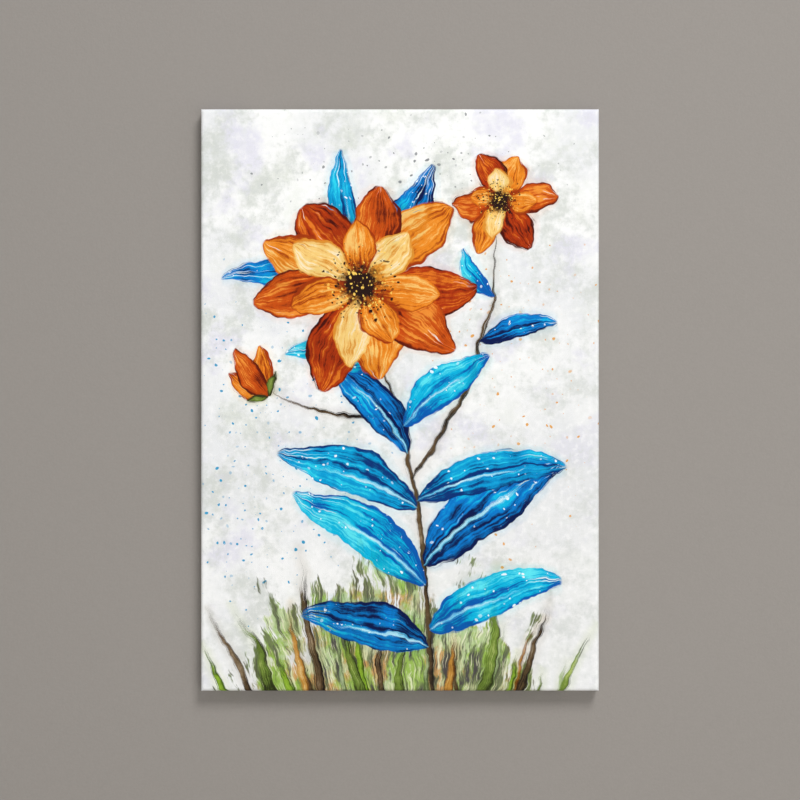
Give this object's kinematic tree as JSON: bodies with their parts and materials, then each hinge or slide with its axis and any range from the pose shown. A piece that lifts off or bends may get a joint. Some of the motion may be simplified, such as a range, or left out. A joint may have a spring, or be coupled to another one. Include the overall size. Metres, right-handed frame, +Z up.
{
  "type": "stretched canvas print",
  "caption": "Upright gallery-wrapped canvas picture on a deep pine stretcher frame with a cross brace, corner keys and toothed wall hangers.",
  "frame": {"origin": "the middle of the picture, on the wooden back face of the cross brace, flush with the back of the bars", "axes": "+Z up; +Y out of the back, towards the wall; -Y out of the printed face; +X to the right as the picture is looked at"},
  "size_m": [1, 0.0421, 1.462],
  "materials": {
    "printed_canvas": "semi-matte primed cotton canvas, printed with a watercolour-style picture",
    "stretcher_pine": "planed, unvarnished pine",
    "key_wood": "sawn, unvarnished hardwood",
    "zinc_steel": "zinc-plated sheet and wire",
    "felt": "pressed wool felt"
  },
  "bodies": {
    "root": {"bar_top": "stretcher_pine", "bar_bottom": "stretcher_pine", "bar_left": "stretcher_pine", "bar_right": "stretcher_pine", "brace_middle": "stretcher_pine", "key_top_left": "key_wood", "key_top_right": "key_wood", "key_bottom_left": "key_wood", "key_bottom_right": "key_wood", "key_left_top": "key_wood", "key_left_bottom": "key_wood", "key_right_top": "key_wood", "key_right_bottom": "key_wood", "canvas_front": "printed_canvas", "canvas_side_top": "printed_canvas", "canvas_turnover_top": "printed_canvas", "canvas_side_bottom": "printed_canvas", "canvas_turnover_bottom": "printed_canvas", "canvas_side_left": "printed_canvas", "canvas_turnover_left": "printed_canvas", "canvas_side_right": "printed_canvas", "canvas_turnover_right": "printed_canvas", "hanger_left": "zinc_steel", "nail_left_outer": "zinc_steel", "nail_left_inner": "zinc_steel", "bumper_left": "felt", "hanger_right": "zinc_steel", "nail_right_outer": "zinc_steel", "nail_right_inner": "zinc_steel", "bumper_right": "felt"}
  },
  "joints": []
}
